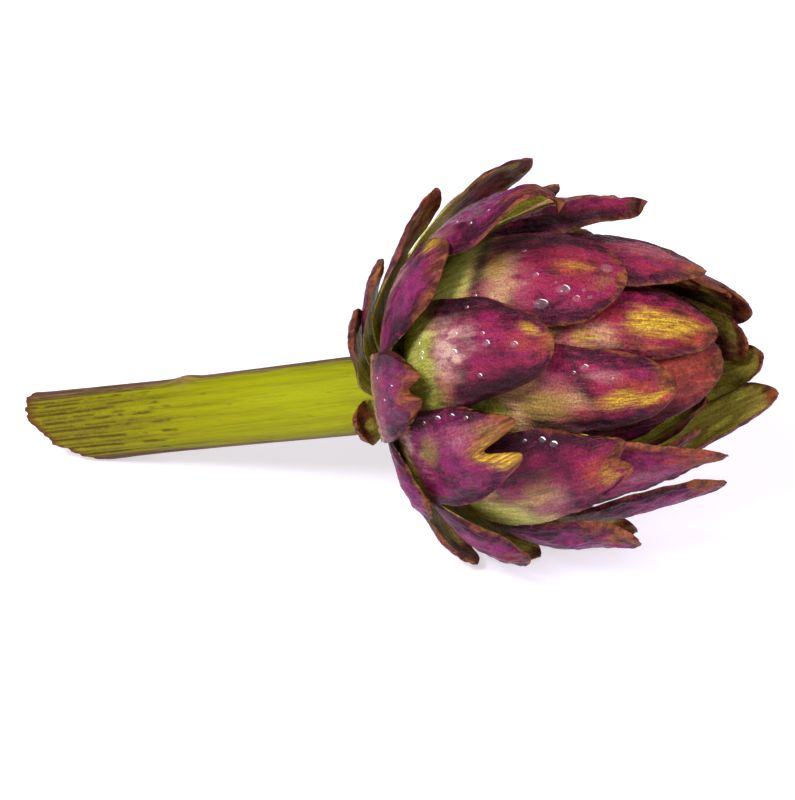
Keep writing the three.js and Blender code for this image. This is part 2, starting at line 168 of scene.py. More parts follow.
# Coloured places on the bracts: colour, place along and across, reach along and
# across (all as shares of the bract), and how strong it is.
# dark_and_shade spots are partly the skin's own dark purple and dried tips, partly painted shade under
# overlapping bracts and on the lower halves of bracts.
SPOTS = {
    # lilac_and_highlight spots are partly a grey-mauve colour of the skin, partly painted highlights on the
    # crests of bracts.
    "a1": [("rose", 0.75, 0, 0.25, 1.3, 0.7), ("brown", 0.8, 0, 0.25, 1, 0.8),
           ("orange", 0.6, 0, 0.2, 1, 0.4)],
    "c2": [("rose", 0.8, 0, 0.17, 1.3, 0.9), ("lime", 0.5, 0.7, 0.25, 0.5, 0.9),
           ("brown", 0.93, -0.3, 0.13, 0.8, 0.75), ("orange", 0.8, 0.1, 0.1, 0.8, 0.45)],
    "b1": [("ash", 0.55, -0.6, 0.17, 0.5, 0.7), ("orange", 0.93, 0.3, 0.07, 0.5, 0.6),
           ("gold", 0.9, -0.7, 0.06, 0.3, 0.8), ("brown", 0.97, 0.4, 0.06, 0.6, 0.8),
           ("dark_and_shade", 0.7, 0.85, 0.15, 0.2, 0.6), ("brown", 0.9, 0.9, 0.1, 0.22, 0.9)],
    "b2": [("orange", 0.92, 0.1, 0.09, 0.7, 0.7), ("brown", 0.95, 0, 0.09, 0.8, 0.75)],
    "b3": [("ash", 0.45, -0.4, 0.06, 0.35, 1), ("lime", 0.41, 0.35, 0.05, 0.5, 0.9),
           ("ash", 0.52, 0.0, 0.07, 0.4, 0.4), ("olive", 0.62, -0.3, 0.06, 0.4, 0.7),
           ("lilac_and_highlight", 0.78, -0.4, 0.1, 0.3, 0.7), ("olive", 0.9, -0.3, 0.07, 0.4, 0.8),
           ("gold", 0.96, 0.15, 0.06, 0.4, 0.95), ("orange", 0.95, -0.5, 0.05, 0.35, 0.6),
           ("orange", 0.86, -0.1, 0.07, 0.5, 0.6), ("green", 0.6, -0.3, 0.08, 0.3, 0.35)],
    "b4": [("lilac_and_highlight", 0.6, -0.2, 0.3, 0.5, 0.5)],
    "b5": [("magenta", 0.65, -0.1, 0.25, 0.8, 0.7), ("orange", 0.93, 0.1, 0.06, 0.5, 0.7)],
    "b7": [("magenta", 0.75, -0.2, 0.2, 0.5, 0.7), ("orange", 0.93, 0, 0.05, 0.5, 0.7),
           ("brown", 0.93, -0.7, 0.07, 0.3, 0.8)],
    "c1": [("rose", 0.8, 0, 0.25, 2.0, 1), ("ash", 0.5, 0.5, 0.1, 0.4, 0.8),
           ("lime", 0.42, 0.9, 0.1, 0.4, 0.6), ("magenta", 0.74, 0.45, 0.12, 0.4, 0.8),
           ("brown", 0.95, 0.1, 0.09, 0.9, 0.8), ("orange", 0.9, 0.5, 0.06, 0.4, 0.7),
           ("dark_and_shade", 0.99, 0, 0.03, 0.9, 1), ("dark_and_shade", 0.75, -0.85, 0.15, 0.2, 0.6)],
    "c3": [("lime", 0.43, -0.35, 0.1, 1.0, 1), ("dark_and_shade", 0.55, -0.2, 0.03, 0.8, 0.9),
           ("cream", 0.64, 0.3, 0.05, 0.45, 0.85), ("olive", 0.62, -0.2, 0.06, 0.35, 0.7),
           ("dark_and_shade", 0.7, -0.6, 0.15, 0.3, 0.85), ("orange", 0.86, -0.05, 0.07, 0.22, 0.9),
           ("gold", 0.87, -0.08, 0.06, 0.1, 0.5), ("olive", 0.94, 0.2, 0.035, 0.25, 0.5),
           ("magenta", 0.82, 0.65, 0.1, 0.3, 0.7), ("lilac_and_highlight", 0.71, 0.3, 0.05, 0.4, 0.5),
           ("dark_and_shade", 0.76, -0.3, 0.06, 0.35, 0.5)],
    "c4": [("lime", 0.46, -0.05, 0.1, 0.7, 1), ("lime", 0.53, 0.5, 0.05, 0.3, 0.7),
           ("ash", 0.62, -0.08, 0.095, 0.5, 1), ("cream", 0.6, 0.35, 0.05, 0.25, 0.7),
           ("dark_and_shade", 0.64, -0.85, 0.17, 0.3, 0.9), ("dark_and_shade", 0.8, 0.8, 0.15, 0.35, 0.9),
           ("dark_and_shade", 0.8, 0.15, 0.1, 0.3, 0.4), ("gold", 0.93, -0.45, 0.035, 0.2, 0.9),
           ("orange", 0.9, -0.05, 0.05, 0.25, 0.6), ("magenta", 0.78, 0.1, 0.07, 0.4, 0.5),
           ("orange", 0.97, 0.1, 0.03, 0.5, 0.8)],
    "c5": [("orange", 0.98, 0.45, 0.05, 0.5, 1), ("olive", 0.64, 0.3, 0.09, 0.4, 1),
           ("cream", 0.72, 0.2, 0.05, 0.25, 0.7), ("magenta", 0.83, -0.6, 0.1, 0.25, 0.8),
           ("lilac_and_highlight", 0.82, -0.35, 0.06, 0.15, 0.8), ("gold", 0.86, 0.2, 0.06, 0.2, 1),
           ("gold", 0.93, 0.35, 0.05, 0.2, 0.9), ("orange", 0.9, 0, 0.07, 0.4, 0.8),
           ("dark_and_shade", 0.85, 0.8, 0.13, 0.25, 0.8), ("dark_and_shade", 0.72, 0.85, 0.2, 0.3, 0.9)],
    "c6": [("lime", 0.5, 0.7, 0.14, 0.45, 1), ("dark_and_shade", 0.72, -0.3, 0.14, 0.4, 0.75),
           ("olive", 0.7, 0.1, 0.08, 0.4, 0.7), ("lilac_and_highlight", 0.72, 0.25, 0.06, 0.4, 1),
           ("cream", 0.66, 0.2, 0.04, 0.3, 0.7), ("orange", 0.9, 0.1, 0.06, 0.4, 0.9),
           ("gold", 0.93, 0.35, 0.03, 0.3, 0.7), ("dark_and_shade", 0.7, -0.85, 0.2, 0.25, 0.6)],
    "c7": [("orange", 0.95, -0.4, 0.05, 0.7, 0.9), ("lilac_and_highlight", 0.84, 0.1, 0.1, 0.25, 0.6),
           ("orange", 0.87, -0.9, 0.08, 0.25, 0.5)],
    "c8": [("magenta", 0.75, 0.2, 0.12, 0.4, 0.5)],
    "d1": [("lilac_and_highlight", 0.88, -0.1, 0.1, 0.4, 0.6), ("orange", 0.97, 0, 0.04, 0.8, 0.6),
           ("dark_and_shade", 0.72, -0.4, 0.1, 0.8, 0.6)],
    "d2": [("magenta", 0.82, -0.6, 0.12, 0.25, 0.9), ("gold", 0.87, 0.1, 0.075, 0.34, 1.15),
           ("gold", 0.94, -0.05, 0.04, 0.3, 0.7), ("gold", 0.67, 0.4, 0.05, 0.2, 0.7),
           ("cream", 0.72, 0.35, 0.05, 0.25, 0.7), ("orange", 0.95, 0.2, 0.08, 0.7, 0.9)],
    "d3": [("orange", 0.93, 0, 0.12, 0.7, 1), ("magenta", 0.93, -0.85, 0.1, 0.25, 0.7)],
    "d4": [("rose", 0.85, -0.6, 0.15, 0.8, 0.8)],
    "d5": [("rose", 0.75, -0.4, 0.13, 1.0, 0.9)],
    "d9": [("dark_and_shade", 0.8, 0.7, 0.25, 0.45, 0.9), ("magenta", 0.85, -0.3, 0.12, 0.3, 0.6),
           ("dark_and_shade", 0.99, 0, 0.03, 0.9, 1)],
}
# Drops of water: place along and across, half of the width in mm, and how drawn out.
DROPS = {
    "c3": [(0.94, -0.17, 1.25, 1.1), (0.83, 0.43, 1.3, 1.3), (0.77, 0.62, 1.15, 1.5),
           (0.75, 0.15, 0.6, 1.3), (0.87, 0.56, 0.75, 1.2), (0.62, 0.45, 0.45, 1.2),
           (0.56, 0.35, 0.4, 1.2), (0.7, -0.4, 0.4, 1.2), (0.72, 0.3, 0.4, 1.2), (0.89, 0.42, 0.45, 1.1),
           (0.91, 0.56, 0.4, 1.3), (0.81, 0.28, 0.35, 1.2), (0.8, -0.1, 0.3, 1.0)],
    "c4": [(0.79, -0.07, 0.85, 1.1), (0.88, -0.02, 0.7, 1.3), (0.67, 0.03, 0.7, 1.4),
           (0.67, -0.27, 0.55, 1.3), (0.78, -0.25, 0.5, 1.2), (0.47, -0.22, 0.5, 2.2),
           (0.49, -0.07, 0.55, 2.2), (0.49, 0.07, 0.5, 2.0), (0.76, 0.55, 0.5, 1.3),
           (0.72, -0.75, 0.4, 1.2)],
    "c1": [(0.74, 0.5, 0.5, 1.3), (0.66, 0.3, 0.4, 1.3), (0.8, 0.35, 0.4, 1.3)],
    "b3": [(0.7, -0.85, 0.55, 1.5), (0.77, -0.85, 0.5, 1.3), (0.83, -0.75, 0.45, 1.3),
           (0.62, -0.8, 0.4, 1.2)],
    "b2": [(0.6, -0.4, 0.35, 1.2), (0.7, 0.1, 0.35, 1.2), (0.8, -0.2, 0.3, 1.2)],
    "c5": [(0.77, -0.55, 0.75, 1.2), (0.84, -0.3, 0.4, 1.2), (0.74, -0.4, 0.35, 1.2)],
    "d1": [(0.86, 0.2, 0.35, 1.3), (0.92, 0.05, 0.3, 1.2)],
    "c6": [(0.76, -0.82, 0.7, 1.3), (0.79, -0.72, 0.75, 1.2), (0.7, -0.85, 0.4, 1.3)],
}


# --------------------------------------------------------------------------
# Shape
# --------------------------------------------------------------------------
NOTCH_POWER, CORNER_POWER = 6, 3.5    # how sharply the split and the corners of a tip begin
TURN_POWER = 1.2                      # how late a bract swings from its root's turn to its tip's
BEND_MOST = 1.3                       # the flare stops growing this far past its start
WRAP_LEAST = 3.0                      # mm, least radius a bract wraps round
WRAP_FREE = 90.0                      # degrees added to `most` past the root
PINCH_FROM, PINCH_TO = 0.78, 0.93     # shares of the length
TIP_ROUND_LEAST, TIP_ROUND_MOST = 0.02, 0.25
MM_PER_DEGREE = 0.75                  # length of a bract for each degree it spans


def smooth(low, high, x):
    t = np.clip((x - low) / (high - low), 0, 1)
    return t * t * (3 - 2 * t)


def bell(x, middle, wide):
    return np.exp(-(((x - middle) / wide) ** 2))


def noise(x, y, seed):
    """Smooth noise from -1 to 1, the same for the same seed."""
    x, y = np.broadcast_arrays(np.asarray(x, float), np.asarray(y, float))
    xi, yi = np.floor(x).astype(np.int64), np.floor(y).astype(np.int64)
    fx, fy = x - xi, y - yi
    fx, fy = fx * fx * (3 - 2 * fx), fy * fy * (3 - 2 * fy)

    def corner(a, b):
        n = (a * 374761393 + b * 668265263 + seed * 974711) & 0x7FFFFFFF
        n = ((n ^ (n >> 13)) * 1274126177) & 0x7FFFFFFF
        return ((n ^ (n >> 16)) & 0xFFFF) / 32767.5 - 1

    low = corner(xi, yi) * (1 - fx) + corner(xi + 1, yi) * fx
    high = corner(xi, yi + 1) * (1 - fx) + corner(xi + 1, yi + 1) * fx
    return low * (1 - fy) + high * fy


def place(a, r, turn):
    """Points at a along the head's axis and r from it, turn in degrees."""
    t = np.radians(turn)
    a, r, t = np.broadcast_arrays(a, r, t)
    return (JOINT + a[..., None] * ALONG + (r * np.cos(t))[..., None] * UPWARD
            + (r * np.sin(t))[..., None] * NEARWARD)


def outline_radius(under):
    """Radius of the closed head at an angle from its tip, a smooth curve through HEAD_OUTLINE."""
    x, y = HEAD_OUTLINE[:, 0], HEAD_OUTLINE[:, 1]
    under = np.clip(under, 0, 180)
    slope = np.zeros(len(y))
    slope[1:-1] = (y[2:] - y[:-2]) / (x[2:] - x[:-2])
    i = np.clip(np.searchsorted(x, under, side="right") - 1, 0, len(x) - 2)
    span = x[i + 1] - x[i]
    t = (under - x[i]) / span
    return ((2 * t**3 - 3 * t**2 + 1) * y[i] + (t**3 - 2 * t**2 + t) * span * slope[i]
            + (3 * t**2 - 2 * t**3) * y[i + 1] + (t**3 - t**2) * span * slope[i + 1])


def root_angle(b):
    """How far under the tip of the head a bract's root lies."""
    return np.interp(b["tip"], ROOT_ANGLES[:, 0], ROOT_ANGLES[:, 1]) + b["longer"]


def tip_round(b, u):
    """1 along most of a bract, falling to almost 0 round the end of its tip."""
    if b["notch"]:
        return np.ones_like(u)
    long_mm = MM_PER_DEGREE * (root_angle(b) - b["tip"])
    rounded = np.clip(1.25 * b["blunt"] * b["half"] / long_mm, TIP_ROUND_LEAST, TIP_ROUND_MOST)
    end = np.clip((u - 1 + rounded) / rounded, 0, 1)
    return np.sqrt(np.maximum(1 - end**2, 1e-3))


def width_share(b, u):
    """Width at u along a bract as a share of its widest."""
    lower = b["base"] + (1 - b["base"]) * np.sin(np.clip(u / WIDEST_AT, 0, 1) * np.pi / 2)
    x = np.clip((u - WIDEST_AT) / (1 - WIDEST_AT), 0, 1)
    upper = (1 - (1 - b["blunt"]) * x ** (1 + 1.6 * b["fat"])) * tip_round(b, u)
    return np.where(u < WIDEST_AT, lower, upper)


def bract_point(b, u, v, depth, seed):
    """Points of a bract in mm: u along it, v across it, depth beneath its outer face."""
    root_under = root_angle(b)
    back = b["notch"] * bell(v, 0, b["notch_wide"])
    if b["notch"]:
        back = back + CORNER_BACK * b["blunt"] * np.abs(v) ** CORNER_POWER
    reach = u - u**NOTCH_POWER * back
    under = root_under + (b["tip"] - root_under) * reach
    bend = np.clip((b["tip"] + b["flare_over"] - under) / b["flare_over"], 0, BEND_MOST)
    raised = np.clip((LIFT_GONE - u) / (LIFT_GONE - LIFT_FULL), 0, 1)
    side = v * tip_round(b, u)
    rho = (outline_radius(under) * (1 - LAYER_STEP * (under - b["tip"]))
           - b["sink"] + b["lift"] * raised + b["flare"] * bend**2 + b["tilt"] * side * u * u)
    around = np.maximum(rho * np.sin(np.radians(under)), WRAP_LEAST)
    most = b["most"] + WRAP_FREE * np.clip((u - LIFT_FULL) / (ROOT_FREE - LIFT_FULL), 0, 1)
    half = b["half"] * width_share(b, u) * (1 + b["ragged"] * noise(u * 9, np.sign(v) * 3, seed + 7))
    half_turn = np.minimum(np.degrees(half / around), most)
    across = v - b["pinch"] * smooth(PINCH_FROM, PINCH_TO, u) * (v + 1)
    turn = (b["root"] + (b["turn"] - b["root"]) * np.clip(reach, 0, 1) ** TURN_POWER
            + across * half_turn)
    under = np.radians(under)
    return place(HEAD_CENTRE + (rho - depth) * np.cos(under), (rho - depth) * np.sin(under), turn)


def grid_normals(p):
    along = np.gradient(p, axis=0)
    across = np.gradient(p, axis=1)
    n = np.cross(across, along)
    return n / np.maximum(np.linalg.norm(n, axis=2, keepdims=True), 1e-9)


# Detail on the face of a bract, in mm unless it says shares of the length.
CROWD_TIP, CROWD_EDGES = 1.25, 0.55   # rows crowd towards the tip, columns towards the edges
FREE_FROM, FREE_TO = 0.4, 0.85        # shares of the length over which a bract comes free
EDGE_WAVES = 13                       # ripples along an edge, radians from root to tip
ROLL_IN, ROLL_WIDE = 1.0, 0.7         # middle of the rolled rim from the edge, and its width
RIM_DROP, RIM_REACH = 0.35, 0.9       # how far the very edge turns down, and over what width
KNOB_LONG, KNOB_THICK = 1.5, 1.6
FLAT_INNER = 0.6 * LEAST_OVER_FLAT    # inner face's height over the table on the flat spots


def bract_sheets(b, seed):
    """Outer and inner grids of points in mm, and the values its colours are made from."""
    rows, cols = (ROWS_LONG, ROWS_WIDE) if b["fine"] else (ROWS_LONG // 2, ROWS_WIDE // 2)
    u = 1 - (1 - np.linspace(0, 1, rows + 1)) ** CROWD_TIP
    s = np.linspace(-1, 1, cols + 1)
    v = np.sin(s * np.pi / 2) * CROWD_EDGES + s * (1 - CROWD_EDGES)
    u, v = np.meshgrid(u, v, indexing="ij")
    outer = bract_point(b, u, v, 0 * u, seed)
    n = grid_normals(outer)

    # mm across and along the face, and from the tip and the rim
    half_mm = b["half"] * width_share(b, u)
    x = v * half_mm
    step = np.linalg.norm(np.diff(outer[:, cols // 2], axis=0), axis=1)
    y = np.repeat(np.concatenate([[0], np.cumsum(step)])[:, None], cols + 1, 1)
    tip_mm = y[-1:] - y
    rim = np.minimum((1 - np.abs(v)) * half_mm, tip_mm)

    free = smooth(FREE_FROM, FREE_TO, u)
    round_off = tip_round(b, u)
    side = v * round_off
    plump = b["crown"] * (1 - side**2) * free * (1 - 0.6 * smooth(0.85, 1, u))
    rise = b["wave"] * np.abs(v) ** 3 * np.sin(u * EDGE_WAVES + seed + np.sign(v)) * free
    rise = rise - b["keel"] * np.abs(side) * free
    rise = rise + b["crumple"] * noise(x * 0.3, y * 0.16, seed + 11) * free * round_off
    rise = rise + b["crumple"] * 0.55 * noise(x * 0.75, y * 0.35, seed + 12) * smooth(0.5, 0.9, u)
    fine = 0.16 * noise(x * 1.5, y * 0.5, seed + 13) + 0.1 * noise(x * 2.6, y * 0.8, seed + 14)
    fine = fine + 0.09 * np.sin(x * 2.2 + noise(y * 0.1, v, seed + 3) * 2)
    rolled = b["bead"] * bell(rim, ROLL_IN, ROLL_WIDE) * smooth(0.55, 0.8, u)
    rolled = rolled - RIM_DROP * (1 - smooth(0, RIM_REACH, rim)) * smooth(0.5, 0.7, u)
    knob = b["knob"] * bell(tip_mm, 0, KNOB_LONG) * (1 - v**4)

    thick = EDGE_THICK + (RIB_THICK - EDGE_THICK) * (1 - v * v) * (1 - 0.45 * u)
    thick = thick * (1 - 0.35 * smooth(0.93, 1, u)) + KNOB_THICK * knob
    inner = bract_point(b, u, v, thick, seed)
    relief = rise + plump + (fine * (0.35 + 0.65 * free) + rolled) * round_off + knob
    outer = outer + n * relief[..., None]
    inner = inner + n * (rise + 0.8 * plump)[..., None]
    outer[..., 2] = np.maximum(outer[..., 2], 0)
    inner[..., 2] = np.maximum(inner[..., 2], FLAT_INNER)
    return outer, inner, dict(u=u, v=v, across=x, along=y, rim=rim)


MARKS = ("green", "lime", "cream", "ash", "lilac_and_highlight", "olive", "gold", "orange", "brown", "dark_and_shade", "magenta",
         "rose")


def masks(key, b, seed, g):
    """How much of each colour a bract has, 0 to 1 at every point."""
    u, v, x, y = g["u"], g["v"], g["across"], g["along"]
    wob = 0.05 * noise(x * 0.35, y * 0.12, seed + 21) + 0.03 * noise(x * 1.1, y * 0.2, seed + 22)
    top = b["green"] + b["skew"] * v
    out = {mark: 0 * u for mark in MARKS}
    out["green"] = 1 - smooth(top - 0.11, top + 0.09, u + wob)
    out["cream"] = b["band"] * bell(u + wob - top, 0.03, 0.055)
    out["lilac_and_highlight"] = 0.7 * b["band"] * bell(u + wob - top, 0.13, 0.08)
    reach = np.maximum(b["brown"] * (1 + 0.8 * noise(x * 0.4, y * 0.3, seed + 23)), 1e-3)
    along_rim = 0.75 * (1 - smooth(0.2, 1.1, g["rim"] + 0.5 * noise(x * 0.6, y * 0.5, seed + 24)))
    out["brown"] = np.maximum(1 - smooth(0.2, 1.2, (1 - u) / reach), along_rim * smooth(0.55, 0.85, u))
    for mark, at_u, at_v, long, wide, amount in SPOTS.get(key, ()):
        d = ((u - at_u) / long) ** 2 + ((v - at_v) / wide) ** 2
        d = d * (1 + 0.5 * noise(x * 0.5, y * 0.25, seed + 26)) + 0.3 * noise(x * 1.2, y * 0.3, seed + 27)
        out[mark] = np.maximum(out[mark], amount * np.exp(-0.8 * np.maximum(d, 0)))
    return {mark: np.clip(m, 0, 1) for mark, m in out.items()}


DROP_SIDES, DROP_RINGS = 20, 8
DROP_HIGH = 0.5                       # height of a drop as a share of half its width
DROP_LOWEST, DROP_SPAN = -25, 100     # degrees: its rings run from under its widest to near its top
# The painted highlight on each drop: a near-white crescent on its upper side, made more opaque there.
DROP_HIGHLIGHT_AT, DROP_HIGHLIGHT_WIDE = 0.45, 0.4        # radians up a drop, where it holds the light
DROP_HIGHLIGHT_SIDE = 0.75 * UPWARD + 0.66 * ALONG


def droplets(key, outer, g):
    """Small flattened drops of water standing on the outer face, as points and faces, and how much painted
    highlight each point has.
    """
    points, faces, drop_highlight = [], [], []
    n = grid_normals(outer)
    for at_u, at_v, wide, drawn in DROPS.get(key, ()):
        nearest = np.argmin((g["u"] - at_u) ** 2 * 4 + (g["v"] - at_v) ** 2)
        i, j = np.unravel_index(nearest, g["u"].shape)
        foot, up = outer[i, j], n[i, j]
        side = np.cross(up, ALONG)
        side = side / np.linalg.norm(side)
        onward = np.cross(side, up)
        first = len(points)
        for k in range(DROP_RINGS):
            tilt = math.radians(DROP_LOWEST + DROP_SPAN * k / (DROP_RINGS - 1))
            for spin in np.linspace(0, 2 * math.pi, DROP_SIDES, endpoint=False):
                flat = side * math.cos(spin) + drawn * onward * math.sin(spin)
                points.append(foot + wide * (flat * math.cos(tilt) + DROP_HIGH * up * math.sin(tilt)))
                facing = np.dot(flat / np.linalg.norm(flat), DROP_HIGHLIGHT_SIDE)
                drop_highlight.append(max(facing, 0) * bell(tilt, DROP_HIGHLIGHT_AT, DROP_HIGHLIGHT_WIDE))
        points.append(foot + wide * DROP_HIGH * up)
        drop_highlight.append(0)
        for k in range(DROP_RINGS - 1):
            for q in range(DROP_SIDES):
                a, b = first + k * DROP_SIDES + q, first + k * DROP_SIDES + (q + 1) % DROP_SIDES
                faces.append((a, b, b + DROP_SIDES, a + DROP_SIDES))
        last = first + (DROP_RINGS - 1) * DROP_SIDES
        faces += [(last + q, last + (q + 1) % DROP_SIDES, len(points) - 1) for q in range(DROP_SIDES)]
        faces.append(tuple(first + q for q in reversed(range(DROP_SIDES))))
    return points, faces, drop_highlight


def add_attribute(mesh, name, values):
    """One number for each point; points past the end of values get 0."""
    spare = len(mesh.vertices) - np.size(values)
    values = np.concatenate([np.ravel(values), np.zeros(spare)])
    mesh.attributes.new(name, "FLOAT", "POINT").data.foreach_set(
        "value", np.ascontiguousarray(values, np.float32).ravel())


def add_vectors(mesh, name, values):
    mesh.attributes.new(name, "FLOAT_VECTOR", "POINT").data.foreach_set(
        "vector", values.astype(np.float32).ravel())


def smooth_mesh(name, points_mm, faces):
    mesh = bpy.data.meshes.new(name)
    mesh.from_pydata((points_mm / 1000).tolist(), [], faces)
    mesh.polygons.foreach_set("use_smooth", [True] * len(faces))
    return mesh


def add_object(name, data):
    thing = bpy.data.objects.new(name, data)
    bpy.context.scene.collection.objects.link(thing)
    return thing


def make_bract(key, b, seed, skin, water):
    outer, inner, g = bract_sheets(b, seed)
    rows, cols = outer.shape[:2]
    count = rows * cols
    ids = np.arange(count).reshape(rows, cols)
    p, q, r, s = ids[:-1, :-1], ids[:-1, 1:], ids[1:, 1:], ids[1:, :-1]
    top = np.stack([p, q, r, s], -1).reshape(-1, 4)
    under = np.stack([p, s, r, q], -1).reshape(-1, 4) + count
    loop = np.concatenate([ids[0, :], ids[1:, -1], ids[-1, -2::-1], ids[-2:0:-1, 0]])
    onward = np.roll(loop, -1)
    edge = np.stack([onward, loop, loop + count, onward + count], -1)
    faces = np.concatenate([top, under, edge]).tolist()
    drop_points, drop_faces, drop_highlight = droplets(key, outer, g)
    wet = [0] * len(faces) + [1] * len(drop_faces)
    faces += [tuple(i + 2 * count for i in f) for f in drop_faces]
    points = np.concatenate([outer.reshape(-1, 3), inner.reshape(-1, 3), np.reshape(drop_points, (-1, 3))])
    mesh = smooth_mesh("mesh_" + key, points, faces)
    mesh.polygons.foreach_set("material_index", wet)
    for name, m in masks(key, b, seed, g).items():
        add_attribute(mesh, name, np.concatenate([m.ravel(), m.ravel()]))
    add_attribute(mesh, "inner", np.repeat([0.0, 1.0], count))
    add_attribute(mesh, "side", np.tile(g["v"].ravel(), 2))
    add_attribute(mesh, "share", np.tile(g["u"].ravel(), 2))
    add_attribute(mesh, "violet", np.full(2 * count, b["violet"]))
    add_attribute(mesh, "red", np.full(2 * count, b["red"]))
    leaf = np.stack([g["across"], g["along"], np.full_like(g["u"], seed * 7.3)], -1).reshape(-1, 3)
    add_vectors(mesh, "leaf", np.concatenate([leaf, leaf, np.zeros((len(drop_points), 3))]))
    mesh.materials.append(skin)
    if drop_points:
        add_attribute(mesh, "drop_highlight", np.concatenate([np.zeros(2 * count), drop_highlight]))
        mesh.materials.append(water)
    return add_object(key, mesh)


# --------------------------------------------------------------------------
# Stem and heart: mm along the axis from the joint, mm of radius, degrees round
# --------------------------------------------------------------------------
CUT_MIDDLE, CUT_SLANT, HEART_TOP = -86.0, 9.5, 30.8
STEM_PROFILE = np.array([[-97, 9.5], [-90, 9.1], [-60, 8.8], [-35, 9.0], [-8, 9.3], [2, 8.6], [8, 9.1],
                         [14, 10.1], [18, 12.4], [21, 13.4], [24, 13.0], [27, 11.2], [29.5, 7.5],
                         [HEART_TOP, 0.2]])
STEM_ROUND, STEM_LONG = 168, 200      # points round and along
STEM_RADIUS = 9                       # for the patterns on the skin
STALK_TO, HEART_FROM = -4, 6          # the ribs fade out between these
WORN_TO, FRESH_FROM = -88, -40        # the skin is worn nearest the cut
BROAD_RIBS, FINE_RIBS = 23, 47        # how many go round
RIB_FRESH, RIB_WORN = 0.08, 0.26      # their height, and what wear adds to it
MAUVE_BANDS = [(-14, 24), (148, 22)]  # turn and reach of the dull bands along the top and the underside
NODULE_AT, NODULE_LONG, NODULE_TURN, NODULE_WIDE, NODULE_HIGH = -50, 3.2, -2, 16, 1.1
BEVEL, BEVEL_SLOPE = 1.2, 0.25        # the skin curls in at the cut
SEAM = 25                             # degrees over which the noise meets itself at the top
CUT_RINGS = [0.22, 0.42, 0.6, 0.75, 0.88, 0.97]
CUT_SUNK = (0.6, 0.75, 0.88)          # rings of the cut face that have dried and sunk
CUT_DEPTH, CUT_ROUGH = 0.35, 0.25
RING_NOISE = 14                       # degrees for each step of the noise on the cut face


def stem_surface(turn, blend):
    """Points of the skin from the cut to the heart, and the values its colours are made from."""
    rough_cut = 1.0 * noise(turn / 15, 0.3, 5) + 0.6 * noise(turn / 5, 0.8, 7)
    start = CUT_MIDDLE - CUT_SLANT * np.cos(np.radians(turn)) + rough_cut * blend
    share = np.linspace(0, 1, STEM_LONG)
    a = start[None, :] + (HEART_TOP - start[None, :]) * share[:, None]
    from_cut = a - start[None, :]
    t = np.repeat(turn[None, :], STEM_LONG, 0)
    from_top = (t + 180) % 360 - 180
    stalk = 1 - smooth(STALK_TO, HEART_FROM, a)
    worn = 1 - smooth(WORN_TO, FRESH_FROM, a + 5 * noise(t / 20, 0.2, 8))
    drift = 70 * noise(a / 30, t / 40, 9) * blend
    ribs = (0.45 * np.cos(np.radians(t * BROAD_RIBS + drift))
            + 0.55 * np.cos(np.radians(t * FINE_RIBS + 2 * drift)))
    broken = noise(a / 3, t / 4, 12) + 0.7 * noise(a / 1.2, t / 3, 13) + 1.75 * worn - 1.0
    groove = smooth(-0.2, 0.5, -ribs) * smooth(-0.4, 0.4, broken) * stalk
    mauve = np.maximum(*(bell(from_top, at, wide) for at, wide in MAUVE_BANDS)) * (0.6 + 0.4 * worn)
    nodule = bell(a, NODULE_AT, NODULE_LONG) * bell(from_top, NODULE_TURN, NODULE_WIDE)
    r = np.interp(a, STEM_PROFILE[:, 0], STEM_PROFILE[:, 1])
    r = r + stalk * ribs * (RIB_FRESH + RIB_WORN * worn) + NODULE_HIGH * nodule
    r = r - BEVEL_SLOPE * np.maximum(BEVEL - from_cut, 0)
    skin = place(a, r, t)
    skin[..., 2] = np.maximum(skin[..., 2], 0)
    return skin, a, dict(from_cut=from_cut, knob=nodule, groove=groove, mauve=mauve, worn=worn)


def make_stem(material):
    n = STEM_ROUND
    turn = np.linspace(0, 360, n, endpoint=False)
    blend = smooth(0, SEAM, turn) * smooth(0, SEAM, 360 - turn)
    skin, a, values = stem_surface(turn, blend)

    centre = place(np.array(CUT_MIDDLE), np.array(0.0), np.array(0.0))
    cut = []
    for k, share in enumerate(reversed(CUT_RINGS)):
        dip = CUT_ROUGH * noise(turn / RING_NOISE + k, k * 0.7, 31) * blend
        dip = dip - (CUT_DEPTH if share in CUT_SUNK else 0.0)
        cut.insert(0, centre + (skin[0] - centre) * share - ALONG * dip[:, None] * 0.8)
    points = np.concatenate([[centre], *cut, skin.reshape(-1, 3)])

    rings = len(CUT_RINGS) + STEM_LONG
    faces = [(0, 1 + (k + 1) % n, 1 + k) for k in range(n)]
    for i in range(rings - 1):
        low, high = 1 + i * n, 1 + (i + 1) * n
        for k in range(n):
            m = (k + 1) % n
            faces.append((low + k, low + m, high + m, high + k))
    faces.append(tuple(1 + (rings - 1) * n + k for k in range(n)))
    mesh = smooth_mesh("mesh_stem", points, faces)

    cut_count = 1 + n * len(CUT_RINGS)
    axial = np.concatenate([np.full(cut_count, CUT_MIDDLE), a.ravel()])
    full_turn = np.radians(np.concatenate([[0], np.tile(turn, rings)]))
    cap = np.concatenate([[0.0], np.repeat(CUT_RINGS, n), np.full(a.size, 1.0)])
    add_attribute(mesh, "cap", cap)
    add_attribute(mesh, "axial", axial)
    for name, value in values.items():
        on_cut = 1.0 if name == "worn" else 0.0
        add_attribute(mesh, name, np.concatenate([np.full(cut_count, on_cut), value.ravel()]))
    r = STEM_RADIUS * cap
    add_vectors(mesh, "around", np.stack([axial, r * np.cos(full_turn), r * np.sin(full_turn)], -1))
    mesh.materials.append(material)
    return add_object("stem", mesh)


